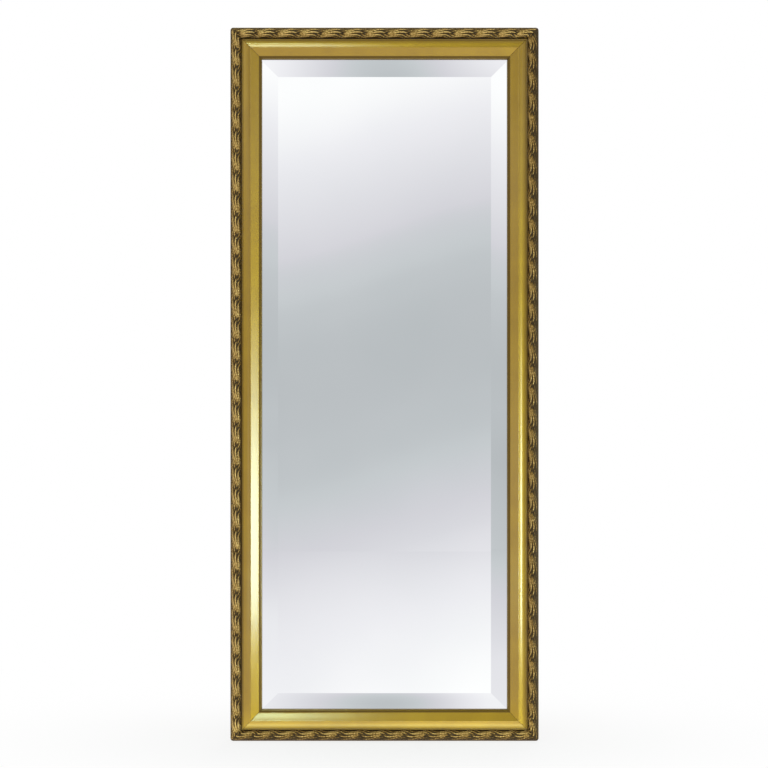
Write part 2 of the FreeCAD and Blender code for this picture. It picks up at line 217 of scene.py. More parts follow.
def gold_leaf(tree):
    """Leaf laid in squares shows as slow patches of tone 40 mm across, and its ground ripples over 9 mm.

    Rubbing leaves spots of 3 mm a little duller. Umber wax darkens the groove and the outer edge and takes
    the gloss off the lacquer there, and the sight bead is darker and duller too. On the edge beside the
    leaves the darkening is painted shade, deeper on the top and bottom than on the left.
    """
    place = add_node(tree, "ShaderNodeTexCoord", output="Object")
    patches = add_node(tree, "ShaderNodeTexNoise", {"Vector": place, "Scale": 1 / (40 * mm), "Detail": 3.0})
    rubbed = add_node(tree, "ShaderNodeTexNoise", {"Vector": place, "Scale": 1 / (3 * mm), "Detail": 4.0})
    ripple = add_node(tree, "ShaderNodeTexNoise", {"Vector": place, "Scale": 1 / (9 * mm), "Detail": 1.0})
    tone = add_node(
        tree, "ShaderNodeValToRGB", {"Fac": patches},
        stops=[(0.3, to_linear("#B68E02")), (0.7, to_linear("#C09806"))],
    )
    wax_and_shade = add_node(tree, "ShaderNodeAttribute", output="Fac", attribute_name="toning_and_shade")
    waxed_and_shaded = add_node(
        tree, "ShaderNodeMix", {0: wax_and_shade, 6: tone, 7: to_linear("#5C4515")}, output=2, data_type="RGBA"
    )
    roughness = add_node(tree, "ShaderNodeMapRange", {"Value": rubbed, "To Min": 0.45, "To Max": 0.55})
    bump = add_node(tree, "ShaderNodeBump", {"Height": ripple, "Strength": 0.05, "Distance": 1 * mm})
    lacquer = add_node(tree, "ShaderNodeMapRange", {"Value": wax_and_shade, "To Min": 1.0, "To Max": 0.2})
    return add_node(tree, "ShaderNodeBsdfPrincipled", {
        "Base Color": waxed_and_shaded, "Metallic": 1.0, "Roughness": roughness, "Normal": bump,
        "Coat Weight": lacquer, "Coat Roughness": 0.15, "Coat IOR": 1.65,
    })


def bare_pine(tree):
    """Planed pine: growth bands 7 mm apart that run along each piece, in three warm tones."""
    grain = add_node(tree, "ShaderNodeAttribute", output="Vector", attribute_name="along_grain")
    stretch = (1 / (160 * mm), 1 / (7 * mm), 1 / (7 * mm))
    drawn = add_node(tree, "ShaderNodeMapping", {"Vector": grain, "Scale": stretch})
    bands = add_node(tree, "ShaderNodeTexNoise", {"Vector": drawn, "Scale": 1.0, "Detail": 5.0})
    tone = add_node(
        tree, "ShaderNodeValToRGB", {"Fac": bands},
        stops=[(0.3, to_linear("#B98E5A")), (0.5, to_linear("#D3AE7B")), (0.7, to_linear("#DDBF92"))],
    )
    bump = add_node(tree, "ShaderNodeBump", {"Height": bands, "Strength": 0.2, "Distance": 0.4 * mm})
    return add_node(
        tree, "ShaderNodeBsdfPrincipled", {"Base Color": tone, "Roughness": 0.7, "Normal": bump}
    )


gilding = new_material("lacquered_gold_leaf", gold_leaf)
pine = new_material("bare_pine", bare_pine)
section, section_corner = section_points(moulding_section)
across, height = section.T
rounded_from = corner_radius * (1 - np.sqrt(0.5))
ends_toning = np.concatenate((mitre_toning, mitre_toning[::-1]))[:, None]
for side, (kind, half_run, reach, turn) in sides.items():
    shares = 1 - mitre_stations / half_run
    shares = np.concatenate((-shares, shares[::-1]))[:, None]
    along = shares * (half_run - np.maximum(across, rounded_from))
    width = np.maximum(across, corner_sagitta(half_run - np.abs(along)))
    sunk = np.where((np.abs(shares) == 1) & (height > groove_from_height), mitre_groove, 0)
    rings = on_side(along, width, height - sunk, reach, turn)
    piece = skinned_piece(f"gilt_{side}_{kind}", rings, (gilding, pine), moulding_crease)
    grain = np.stack(np.broadcast_arrays(along, width, height), axis=-1)
    keep_on_points(piece, "along_grain", "FLOAT_VECTOR", grain)
    # Umber wax, with painted shade on the edge beside the leaves that differs by side
    wax_and_shade = np.interp(across, wax_and_shade_places, wax_and_shade_shares[side])
    keep_on_points(piece, "toning_and_shade", "FLOAT", np.maximum(ends_toning, wax_and_shade))
    bare = np.tile(section_corner >= bare_from_corner, len(rings) - 1)
    piece.data.polygons.foreach_set("material_index", np.append(bare, (True, True)).astype(np.int32))
    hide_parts(f"{side}_{kind}")
    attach(piece, "frame")

# Leaf bands: a garland of leaf sprays pressed in composition and glued on the outer bed of each length. It
# is gilded, then toned with umber that stays in the hollows and is wiped off the crests.
leaf_bed_height = 15.0 * mm
band_inset = 0.6 * mm
band_radius = 10.0 * mm
band_stilt = 2.5 * mm
band_middle = band_inset + band_radius
relief_depth = 2.2 * mm
flank_width = 5.0 * mm
mitre_zone = 60.0 * mm
leaf_mesh_step = 0.76 * mm
points_across = 49
leaf_crease = 60

# Run of the garland in mm: length of a spray, place of its crest, lean and swing, and sprays on each side
spray_length = 38.5
crest_offset = 0.4
spray_lean = 0.4
spray_swing = 1.6
spray_counts = {"rail": 14, "stile": 34}

# Leaves of one spray in mm: base and tip along and beside the crest, half-width, bow and share of height
crest_leaf = ((4.0, 0.0), (42.0, 0.0), 2.4, 0.0, 1.0)
paired_leaves = (
    ((6.0, 1.6), (36.0, 6.4), 2.2, 0.9, 1.0),
    ((-2.0, 2.2), (27.0, 9.8), 2.1, 1.1, 0.88),
    ((-11.0, 3.4), (16.0, 12.6), 2.0, 1.1, 0.76),
    ((-20.0, 6.5), (5.0, 14.5), 2.0, 0.8, 0.66),
)
base_power = 0.8
blunt_power = 0.7
rise_share = 0.3
midrib_depth = 0.1
midrib_width = 0.6
vein_depth = 0.08
vein_spacing = 4.6
least_half_width = 0.001

# Painted shade on each side and how it changes towards the glass, and how sharply the umber was wiped off
# the crests
side_shade = {"top": 0.0, "right": 0.26, "bottom": 0.2, "left": -0.06}
shade_lean = {"top": -0.06, "right": -0.4, "bottom": -0.3, "left": 0.22}
wipe_contrast = 1.9
half_relief = 0.5


def leaf_height(lengthwise, sideways, base, tip, half_width, bow, crest):
    """Height of one leaf, as a share of the relief, at places along and beside the crest.

    The leaf follows a bowed line from base to tip. Its half-width is a sine of the share of the way, so that
    both ends are pointed, and it rises towards its tip. Across it the height is a half ellipse, less a fine
    midrib, with veins that slant to the tip.
    """
    run = np.subtract(tip, base)
    length = np.hypot(*run)
    forward = ((lengthwise - base[0]) * run[0] + (sideways - base[1]) * run[1]) / length
    share = np.clip(forward / length, 0, 1)
    aside = ((sideways - base[1]) * run[0] - (lengthwise - base[0]) * run[1]) / length
    aside = aside - bow * 4 * share * (1 - share)
    edge = half_width * np.sin(np.pi * share ** base_power) ** blunt_power + least_half_width
    dome = np.sqrt(np.clip(1 - (aside / edge) ** 2, 0, 1))
    midrib = midrib_depth * np.exp(-(aside / midrib_width) ** 2) * dome
    veins = vein_depth * np.cos(2 * np.pi * (forward - np.abs(aside)) / vein_spacing) * dome
    return crest * (1 - rise_share + rise_share * share) * dome - midrib + veins


def spray_relief(lengthwise, sideways):
    """Highest leaf over each point of the garland, with each leaf also in the sprays before and after."""
    leaves = [crest_leaf]
    for base, tip, half_width, bow, crest in paired_leaves:
        leaves.append((base, tip, half_width, bow, crest))
        leaves.append(((base[0], -base[1]), (tip[0], -tip[1]), half_width, -bow, crest))
    heights = [
        leaf_height(lengthwise + shift, sideways, *leaf)
        for leaf in leaves
        for shift in (-spray_length, 0, spray_length)
    ]
    return np.clip(np.max(heights, axis=0), 0, 1)


def toned_and_shaded_gilding(tree):
    """Umber lies in the hollows and thins towards the crests, where spots of 3.5 mm are rubbed bright."""
    place = add_node(tree, "ShaderNodeTexCoord", output="Object")
    # The relief's tone also carries painted shade, deeper on some bands and on the flank turned from the
    # light
    relief = add_node(tree, "ShaderNodeAttribute", output="Fac", attribute_name="leaf_relief_and_shade")
    smears = add_node(tree, "ShaderNodeTexNoise", {"Vector": place, "Scale": 1 / (3.5 * mm), "Detail": 4.0})
    wiped = add_node(tree, "ShaderNodeMapRange", {"Value": smears, "To Min": -0.6, "To Max": 0.6})
    level = add_node(tree, "ShaderNodeMath", {0: relief, 1: wiped}, operation="ADD")
    tone = add_node(
        tree, "ShaderNodeValToRGB", {"Fac": level},
        stops=[
            (0.0, to_linear("#4A3510")), (0.35, to_linear("#6C501A")),
            (0.7, to_linear("#A67D34")), (1.0, to_linear("#DFB76A")),
        ],
    )
    roughness = add_node(tree, "ShaderNodeMapRange", {"Value": level, "To Min": 0.7, "To Max": 0.4})
    return add_node(tree, "ShaderNodeBsdfPrincipled", {
        "Base Color": tone, "Metallic": 0.5, "Roughness": roughness,
        "Coat Weight": 0.2, "Coat Roughness": 0.28,
    })


toning_and_shade = new_material("umber_toned_and_shaded_gilding", toned_and_shaded_gilding)
quarter_turn = band_radius * np.pi / 2
half_girth = quarter_turn + band_stilt
for side, (kind, half_run, reach, turn) in sides.items():
    station = np.linspace(-half_run, half_run, int(2 * half_run / leaf_mesh_step))[:, None]
    beside = np.linspace(-half_girth, half_girth, points_across)
    sideways = beside / mm - crest_offset
    garland_length = spray_counts[kind] * spray_length
    lengthwise = (station / half_run + 1) / 2 * garland_length + spray_lean * sideways
    lengthwise = lengthwise % spray_length
    swing = spray_swing * np.sin(2 * np.pi * lengthwise / spray_length)
    relief = spray_relief(lengthwise, sideways - swing)
    flank = np.clip((half_girth - np.abs(beside)) / flank_width, 0, 1)
    radius = band_radius - relief_depth * (1 - relief) * flank
    lean = np.clip(beside / band_radius, -np.pi / 2, np.pi / 2)
    drop = np.maximum(np.abs(beside) - quarter_turn, 0)
    across = band_middle + radius * np.sin(lean)
    height = leaf_bed_height + band_stilt - drop + radius * np.cos(lean)
    past = np.maximum(np.abs(station) - (half_run - mitre_zone), 0)
    along = np.sign(station) * (np.abs(station) - past * across / mitre_zone)
    across = np.maximum(across, band_inset + corner_sagitta(half_run - np.abs(along)))
    rings = on_side(along, across, height, reach, turn)
    piece = skinned_piece(f"pressed_{side}_leaf_band", rings, (toning_and_shade,), leaf_crease)
    # Painted shade: deeper on the right and bottom bands, and on the flank turned from the light
    painted_shade = side_shade[side] + shade_lean[side] * beside / band_radius
    wiped_relief_and_shade = half_relief + wipe_contrast * (relief - half_relief) - painted_shade
    keep_on_points(piece, "leaf_relief_and_shade", "FLOAT", wiped_relief_and_shade)
    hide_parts(f"{side}_leaf_band")
    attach(piece, "frame")


# Mitre nails: folded strips of bright steel, two at each corner. They are driven across the mitre from the
# back and hold the two lengths together while the glue sets.
def finish_nodes(material, *names):
    """Gives the pieces that keep the shape of their solids their finish."""
    for name in names:
        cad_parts[name].material_slots[0].material = material


def rolled_steel(tree):
    """Cold-rolled strip: bright, with faint streaks from the rolls.

    Real streaks are under 0.1 mm apart. They are drawn 0.6 mm apart, so that they show.
    """
    place = add_node(tree, "ShaderNodeTexCoord", output="Object")
    stretch = (1 / (0.6 * mm), 1 / (9 * mm), 1 / (0.6 * mm))
    drawn = add_node(tree, "ShaderNodeMapping", {"Vector": place, "Scale": stretch})
    streaks = add_node(tree, "ShaderNodeTexNoise", {"Vector": drawn, "Scale": 1.0, "Detail": 2.0})
    tone = add_node(
        tree, "ShaderNodeValToRGB", {"Fac": streaks},
        stops=[(0.3, to_linear("#A7A9AB")), (0.7, to_linear("#C4C6C8"))],
    )
    roughness = add_node(tree, "ShaderNodeMapRange", {"Value": streaks, "To Min": 0.25, "To Max": 0.4})
    return add_node(
        tree, "ShaderNodeBsdfPrincipled", {"Base Color": tone, "Metallic": 1.0, "Roughness": roughness}
    )


finish_nodes(new_material("cold_rolled_steel", rolled_steel), "mitre_v_nails")


# Rebate felt: strips of black wool felt, cut from the sheet and glued behind the lip of the moulding. They
# keep the glass from rubbing on the wood.
def wool_felt(tree):
    """Matted fibre: no gloss, a soft sheen, and faint light and dark.

    Single fibres are too fine to show, so clumps of them are drawn, 1.5 mm across.
    """
    place = add_node(tree, "ShaderNodeTexCoord", output="Object")
    clumps = add_node(tree, "ShaderNodeTexNoise", {"Vector": place, "Scale": 1 / (1.5 * mm), "Detail": 6.0})
    tone = add_node(
        tree, "ShaderNodeValToRGB", {"Fac": clumps},
        stops=[(0.3, to_linear("#131314")), (0.7, to_linear("#26262A"))],
    )
    bump = add_node(tree, "ShaderNodeBump", {"Height": clumps, "Strength": 0.5, "Distance": 0.4 * mm})
    return add_node(tree, "ShaderNodeBsdfPrincipled", {
        "Base Color": tone, "Roughness": 0.95, "Normal": bump, "Sheen Weight": 0.3,
    })


finish_nodes(new_material("black_wool_felt", wool_felt), "rebate_felt")


# Mirror plate: 6 mm float glass with a ground and polished bevel, silvered on its back. It stands on its
# setting blocks in the rebate, and the packing behind holds it forward.
def silvered_plate(tree):
    """Silver behind clear glass: nearly all the light comes back, faintly cooler in patches of 220 mm."""
    place = add_node(tree, "ShaderNodeTexCoord", output="Object")
    bloom = add_node(tree, "ShaderNodeTexNoise", {"Vector": place, "Scale": 1 / (220 * mm), "Detail": 2.0})
    tone = add_node(
        tree, "ShaderNodeValToRGB", {"Fac": bloom},
        stops=[(0.3, to_linear("#F8FAFA")), (0.7, to_linear("#FCFDFD"))],
    )
    return add_node(
        tree, "ShaderNodeBsdfPrincipled", {"Base Color": tone, "Metallic": 1.0, "Roughness": 0.004}
    )


finish_nodes(new_material("silvered_float_glass", silvered_plate), "bevelled_mirror")


# Setting blocks and spacers: offcuts of pine, sawn to length and set round the plate in the rebate. The
# blocks below carry it, and the spacers centre it.
def sawn_pine(tree):
    """Sawn offcuts: bands 5 mm apart along the block and a rough, dry surface."""
    place = add_node(tree, "ShaderNodeTexCoord", output="Object")
    stretch = (1 / (5 * mm), 1 / (5 * mm), 1 / (80 * mm))
    drawn = add_node(tree, "ShaderNodeMapping", {"Vector": place, "Scale": stretch})
    bands = add_node(tree, "ShaderNodeTexNoise", {"Vector": drawn, "Scale": 1.0, "Detail": 4.0})
    tone = add_node(
        tree, "ShaderNodeValToRGB", {"Fac": bands},
        stops=[(0.3, to_linear("#C29A66")), (0.7, to_linear("#DCBF90"))],
    )
    return add_node(tree, "ShaderNodeBsdfPrincipled", {"Base Color": tone, "Roughness": 0.8})


finish_nodes(new_material("sawn_pine", sawn_pine), "setting_blocks", "side_spacers", "top_spacers")


# Packing sheet: grey card cut to the size of the plate and laid behind the silvering. Through it the
# backboard presses evenly on the glass.
def grey_board(tree):
    """Pulped card: dull grey with flecks of fibre 2 mm long."""
    place = add_node(tree, "ShaderNodeTexCoord", output="Object")
    flecks = add_node(tree, "ShaderNodeTexNoise", {"Vector": place, "Scale": 1 / (2 * mm), "Detail": 5.0})
    tone = add_node(
        tree, "ShaderNodeValToRGB", {"Fac": flecks},
        stops=[(0.3, to_linear("#7F7E79")), (0.7, to_linear("#9C9B95"))],
    )
    return add_node(tree, "ShaderNodeBsdfPrincipled", {"Base Color": tone, "Roughness": 0.9})


finish_nodes(new_material("grey_card", grey_board), "packing_sheet")


# Backboard: a sheet of birch plywood sawn to the rebate with a little to spare. It drops in flush with the
# back of the frame, and the turn buttons hold it there.
def birch_veneer(tree):
    """Rotary-cut birch: pale, with slow wavy figure drawn out along the height and fine dark pores in it.

    Pores are about 0.1 mm wide. They are drawn 1.6 mm wide, so that they show.
    """
    place = add_node(tree, "ShaderNodeTexCoord", output="Object")
    figure_stretch = (1 / (45 * mm), 1 / (45 * mm), 1 / (520 * mm))
    drawn = add_node(tree, "ShaderNodeMapping", {"Vector": place, "Scale": figure_stretch})
    figure = add_node(
        tree, "ShaderNodeTexNoise",
        {"Vector": drawn, "Scale": 1.0, "Detail": 5.0, "Roughness": 0.6, "Distortion": 1.4},
    )
    pore_stretch = (1 / (1.6 * mm), 1 / (1.6 * mm), 1 / (26 * mm))
    fine = add_node(tree, "ShaderNodeMapping", {"Vector": place, "Scale": pore_stretch})
    pores = add_node(tree, "ShaderNodeTexNoise", {"Vector": fine, "Scale": 1.0, "Detail": 2.0})
    tone = add_node(
        tree, "ShaderNodeValToRGB", {"Fac": figure},
        stops=[(0.25, to_linear("#BE9660")), (0.5, to_linear("#D6B588")), (0.75, to_linear("#E3CBA3"))],
    )
    dark = add_node(
        tree, "ShaderNodeValToRGB", {"Fac": pores},
        stops=[(0.3, to_linear("#D2C0A8")), (0.45, to_linear("#FFFFFF"))],
    )
    veneer = add_node(
        tree, "ShaderNodeMix", {0: 1.0, 6: tone, 7: dark}, output=2,
        data_type="RGBA", blend_type="MULTIPLY",
    )
    bump = add_node(tree, "ShaderNodeBump", {"Height": pores, "Strength": 0.15, "Distance": 0.3 * mm})
    return add_node(
        tree, "ShaderNodeBsdfPrincipled", {"Base Color": veneer, "Roughness": 0.62, "Normal": bump}
    )


finish_nodes(new_material("birch_plywood", birch_veneer), "backboard")


# Corner plates, hanger straps, rings and their screws: pressed and formed steel, zinc plated. The plates
# brace the mitres, and each ring swings in the folded eye of its strap.
def zinc_plate(tree):
    """Bright zinc plating: a cool grey with cloudy patches 4 mm across that are a little duller."""
    place = add_node(tree, "ShaderNodeTexCoord", output="Object")
    clouds = add_node(tree, "ShaderNodeTexNoise", {"Vector": place, "Scale": 1 / (4 * mm), "Detail": 5.0})
    tone = add_node(
        tree, "ShaderNodeValToRGB", {"Fac": clouds},
        stops=[(0.3, to_linear("#A9AEB4")), (0.7, to_linear("#C8CCD0"))],
    )
    roughness = add_node(tree, "ShaderNodeMapRange", {"Value": clouds, "To Min": 0.28, "To Max": 0.45})
    return add_node(
        tree, "ShaderNodeBsdfPrincipled", {"Base Color": tone, "Metallic": 1.0, "Roughness": roughness}
    )


finish_nodes(
    new_material("zinc_plated_steel", zinc_plate),
    *[f"{side}_{piece}" for side in ("left", "right") for piece in ("hanger_strap", "d_ring")],
    *[f"{end}_{side}_corner_plate" for end in ("top", "bottom") for side in ("left", "right")],
    "corner_plate_screws", "hanger_screws",
)


# Turn buttons and their screws: stamped steel with a thin brass plating. Each button turns on its screw, and
# its tip lies over the edge of the backboard.
def brass_plate(tree):
    """Thin brass on steel: warm yellow, with tarnish in patches 6 mm across that is browner and duller."""
    place = add_node(tree, "ShaderNodeTexCoord", output="Object")
    tarnish = add_node(tree, "ShaderNodeTexNoise", {"Vector": place, "Scale": 1 / (6 * mm), "Detail": 5.0})
    tone = add_node(
        tree, "ShaderNodeValToRGB", {"Fac": tarnish},
        stops=[(0.3, to_linear("#A8823A")), (0.7, to_linear("#D1AE5E"))],
    )
    roughness = add_node(tree, "ShaderNodeMapRange", {"Value": tarnish, "To Min": 0.42, "To Max": 0.26})
    return add_node(
        tree, "ShaderNodeBsdfPrincipled", {"Base Color": tone, "Metallic": 1.0, "Roughness": roughness}
    )


finish_nodes(
    new_material("brass_plated_steel", brass_plate),
    *[f"{side}_{row}_turn_button" for side in ("left", "right") for row in ("upper", "middle", "lower")],
    "top_turn_button", "bottom_turn_button", "turn_button_screws",
)


# Wall bumpers: moulded black rubber pads stuck to the back of the frame near its corners. They hold the
# hardware clear of the wall.
def moulded_rubber(tree):
    """Black rubber: matt, with the grain of its mould and a little grey bloom.

    The grain of such a mould is about 0.1 mm. It is drawn at 0.8 mm, so that it shows.
    """
    place = add_node(tree, "ShaderNodeTexCoord", output="Object")
    grain = add_node(tree, "ShaderNodeTexNoise", {"Vector": place, "Scale": 1 / (0.8 * mm), "Detail": 3.0})
    tone = add_node(
        tree, "ShaderNodeValToRGB", {"Fac": grain},
        stops=[(0.3, to_linear("#1B1B1C")), (0.7, to_linear("#2B2B2C"))],
    )
    bump = add_node(tree, "ShaderNodeBump", {"Height": grain, "Strength": 0.3, "Distance": 0.2 * mm})
    return add_node(
        tree, "ShaderNodeBsdfPrincipled", {"Base Color": tone, "Roughness": 0.75, "Normal": bump}
    )


finish_nodes(
    new_material("black_rubber", moulded_rubber),
    *[f"{end}_{side}_wall_bumper" for end in ("top", "bottom") for side in ("left", "right")],
)

# Floor: a painted studio floor, level with the foot of the frame. It is white to the camera but for a soft
# shadow. To the plate and the gilding it glows, though it is no lamp, with painted shade that deepens far
# off and painted pools of light.
floor_level = frame_low.z
floor_reach = 12.0
everywhere = np.inf
white = to_linear("#FFFFFF")

# Strength of what the plate shows, a little over 1 because the silver takes some of it
studio_strength = 1.04

# Tone of the painted shade near and far ahead of the frame, and the cone of floor that the plate shows,
# which widens far off
near_ahead = 0.2
near_tone = 0.97
far_ahead = 7.5
far_tone = 0.5
cone_half_width = 0.24
cone_growth = 0.105

# Painted light and shade across the cone, as gain of tone by share of its half-width
cone_curve = (
    (-2.8, 0.0), (-2.1, -0.07), (-0.75, -0.06), (0.0, 0.0),
    (0.75, 0.055), (1.15, -0.15), (2.1, -0.18), (2.8, 0.0),
)
curve_reach = 3.0
curve_middle = 0.5

# Painted dark spot in front of the foot, with the share of tone that it takes, and the shadow round the
# frame
foot_shade_centre = (0.0, -0.2, 0.0)
foot_shade_size = (0.18, 0.12, everywhere)
spot_shade = 0.48
shadow_centre = (0.0, 0.0, 0.0)
shadow_size = (0.5, 0.35, everywhere)
shadow_share = 0.2

# Painted pools of light, which glow to the plate and the gilding: centre, size along each axis, and gain
painted_light_pools = (
    ((0.0, -0.075, 0.0), (4.0, 0.02, everywhere), 2.6),
    ((1.1, -0.98, 0.0), (0.28, 0.26, everywhere), 2.6),
    ((-2.4, -1.7, 0.0), (0.9, 0.7, everywhere), 1.1),
)
painted_pool_tint = to_linear("#E8FFE6")


def stage_plane(name, corners, material):
    """Flat four-cornered sheet of the studio."""
    mesh = bpy.data.meshes.new(name)
    mesh.from_pydata(corners, [], [(0, 1, 2, 3)])
    mesh.materials.append(material)
    sheet = bpy.data.objects.new(name, mesh)
    bpy.context.scene.collection.objects.link(sheet)
    return sheet


def soft_spot(tree, place, centre, size):
    """Bell-shaped spot: e to minus the summed squares of the distances from its centre over its sizes."""
    shift = tuple(-np.divide(centre, size))
    shrink = tuple(np.divide(1, size))
    away = add_node(tree, "ShaderNodeMapping", {"Vector": place, "Location": shift, "Scale": shrink})
    squares = add_node(
        tree, "ShaderNodeVectorMath", {0: away, 1: away}, output="Value", operation="DOT_PRODUCT"
    )
    return add_node(tree, "ShaderNodeMath", {0: np.exp(-1), 1: squares}, operation="POWER")


def tone_curve(tree, value, places):
    """Gain or loss of tone, read off a smooth curve through a few places.

    A ramp runs from 0 to 1 and holds nothing below 0, so the curve is drawn about its middle.
    """
    share = add_node(
        tree, "ShaderNodeMapRange", {"Value": value, "From Min": -curve_reach, "From Max": curve_reach}
    )
    tones = [((place / curve_reach + 1) / 2, curve_middle + gain) for place, gain in places]
    stops = [(place, (tone, tone, tone, 1.0)) for place, tone in tones]
    drawn = add_node(tree, "ShaderNodeValToRGB", {"Fac": share}, stops=stops, curve="EASE")
    return add_node(tree, "ShaderNodeMath", {0: drawn, 1: curve_middle}, operation="SUBTRACT")


def grey_value(tree, tone, spot):
    """A tone darkened under a painted dark spot, as a colour from cool grey to white."""
    kept = add_node(tree, "ShaderNodeMath", {0: spot, 1: -spot_shade, 2: 1.0}, operation="MULTIPLY_ADD")
    shaded = add_node(tree, "ShaderNodeMath", {0: tone, 1: kept}, operation="MULTIPLY")
    return add_node(
        tree, "ShaderNodeValToRGB", {"Fac": shaded},
        stops=[
            (0.0, to_linear("#000000")), (0.5, to_linear("#BBBFC2")), (0.57, to_linear("#C6CACD")),
            (0.65, to_linear("#D3D2D8")), (0.85, to_linear("#EDECF0")), (1.0, white),
        ],
    )


def pale_floor(tree):
    """White paint: plain to the camera, matt to all else, and to the plate a painted grey glow that deepens
    far off.
    """
    place = add_node(tree, "ShaderNodeTexCoord", output="Object")
    axes = add_node(tree, "ShaderNodeSeparateXYZ", {0: place}).node.outputs
    ahead = add_node(tree, "ShaderNodeMath", {0: axes["Y"], 1: -1.0}, operation="MULTIPLY")
    fade = add_node(tree, "ShaderNodeMapRange", {
        "Value": ahead, "From Min": near_ahead, "From Max": far_ahead,
        "To Min": near_tone, "To Max": far_tone,
    })
    cone = add_node(
        tree, "ShaderNodeMath", {0: ahead, 1: cone_growth, 2: cone_half_width}, operation="MULTIPLY_ADD"
    )
    aside = add_node(tree, "ShaderNodeMath", {0: axes["X"], 1: cone}, operation="DIVIDE")
    gain = tone_curve(tree, aside, cone_curve)
    tone = add_node(tree, "ShaderNodeMath", {0: fade, 1: gain}, operation="ADD")
    colour = grey_value(tree, tone, soft_spot(tree, place, foot_shade_centre, foot_shade_size))
    strength = studio_strength
    # Painted pools of light: each adds to the glow and takes the pool tint
    for centre, size, pool_gain in painted_light_pools:
        pool = soft_spot(tree, place, centre, size)
        strength = add_node(
            tree, "ShaderNodeMath", {0: pool, 1: pool_gain, 2: strength}, operation="MULTIPLY_ADD"
        )
        colour = add_node(
            tree, "ShaderNodeMix", {0: pool, 6: colour, 7: painted_pool_tint}, output=2, data_type="RGBA"
        )
    shown = add_node(tree, "ShaderNodeEmission", {"Color": colour, "Strength": strength})
    plain = add_node(tree, "ShaderNodeEmission", {"Color": white})
    matt = add_node(tree, "ShaderNodeBsdfDiffuse", {"Color": to_linear("#E8E8E6")})
    near = soft_spot(tree, place, shadow_centre, shadow_size)
    shadow = add_node(tree, "ShaderNodeMath", {0: near, 1: shadow_share}, operation="MULTIPLY")
    rays = add_node(tree, "ShaderNodeLightPath").node.outputs
    to_camera = add_node(tree, "ShaderNodeMixShader", {0: shadow, 1: plain, 2: matt})
    to_rest = add_node(tree, "ShaderNodeMixShader", {0: rays["Is Glossy Ray"], 1: matt, 2: shown})
    return add_node(tree, "ShaderNodeMixShader", {0: rays["Is Camera Ray"], 1: to_rest, 2: to_camera})


stage_plane(
    "studio_floor",
    [(x * floor_reach, y * floor_reach, floor_level) for x, y in ((-1, -1), (1, -1), (1, 1), (-1, 1))],
    new_material("pale_floor", pale_floor),
)

# Panel: a paper screen behind the camera that glows, though it is no lamp, which the plate shows and the
# camera doesn't see. Its painted bands of light and shade wave a little. A painted dark spot lies overhead
# in it, and a painted bright glow far to the left.
panel_y = -4.4
panel_half_width = 9.0
panel_height = 3.6
wave_height = 0.14
wave_length = 2.4

# Tone of the painted bands of light and shade by height over the middle of the frame
bands_low = -0.9
bands_high = 3.1
band_tones = (
    (-0.86, 0.8), (-0.65, 0.7), (-0.32, 0.558), (-0.1, 0.507), (0.14, 0.495), (0.3, 0.515),
    (0.42, 0.556), (0.6, 0.655), (0.98, 0.86), (1.33, 0.97), (1.47, 0.65), (1.6, 0.25),
    (1.75, 0.25), (1.95, 0.8), (2.15, 1.0), (2.4, 1.0), (2.7, 0.5),
)

# Painted shade across the foot of the panel, as gain of tone, which fades out by the foot's height
foot_height = 0.55
foot_curve = (
    (-2.0, 0.0), (-1.5, -0.1), (-1.2, -0.1), (-0.6, 0.0),
    (0.6, 0.0), (1.2, -0.14), (1.5, -0.14), (2.0, 0.0),
)

# The painted dark spot overhead, and the painted bright glow on the left with its gain
overhead_shade_centre = (0.0, 0.0, middle + 2.1)
overhead_shade_size = (0.38, everywhere, 0.4)
left_glow_centre = (-5.6, 0.0, middle - 0.35)
left_glow_size = (1.4, everywhere, 0.45)
left_glow_gain = 1.1


def painted_light_panel(tree):
    """Glowing paper, no lamp: its tone follows the waving painted bands, the foot and the two painted spots.
    """
    place = add_node(tree, "ShaderNodeTexCoord", output="Object")
    axes = add_node(tree, "ShaderNodeSeparateXYZ", {0: place}).node.outputs
    turning = 2 * np.pi / wave_length
    turned = add_node(tree, "ShaderNodeMath", {0: axes["X"], 1: turning}, operation="MULTIPLY")
    wave = add_node(tree, "ShaderNodeMath", {0: turned}, operation="SINE")
    rise = add_node(tree, "ShaderNodeMath", {0: axes["Z"], 1: middle}, operation="SUBTRACT")
    rise = add_node(tree, "ShaderNodeMath", {0: wave, 1: -wave_height, 2: rise}, operation="MULTIPLY_ADD")
    share = add_node(
        tree, "ShaderNodeMapRange", {"Value": rise, "From Min": bands_low, "From Max": bands_high}
    )
    stops = [
        ((height - bands_low) / (bands_high - bands_low), (tone, tone, tone, 1.0))
        for height, tone in band_tones
    ]
    bands = add_node(tree, "ShaderNodeValToRGB", {"Fac": share}, stops=stops, curve="CARDINAL")
    low = add_node(tree, "ShaderNodeMapRange", {
        "Value": axes["Z"], "From Min": floor_level, "From Max": floor_level + foot_height,
        "To Min": 1.0, "To Max": 0.0,
    })
    gain = tone_curve(tree, axes["X"], foot_curve)
    tone = add_node(tree, "ShaderNodeMath", {0: low, 1: gain, 2: bands}, operation="MULTIPLY_ADD")
    # Painted dark spot overhead, and a painted bright glow on the left
    colour = grey_value(tree, tone, soft_spot(tree, place, overhead_shade_centre, overhead_shade_size))
    left_glow = soft_spot(tree, place, left_glow_centre, left_glow_size)
    strength = add_node(
        tree, "ShaderNodeMath", {0: left_glow, 1: left_glow_gain, 2: studio_strength},
        operation="MULTIPLY_ADD",
    )
    return add_node(tree, "ShaderNodeEmission", {"Color": colour, "Strength": strength})


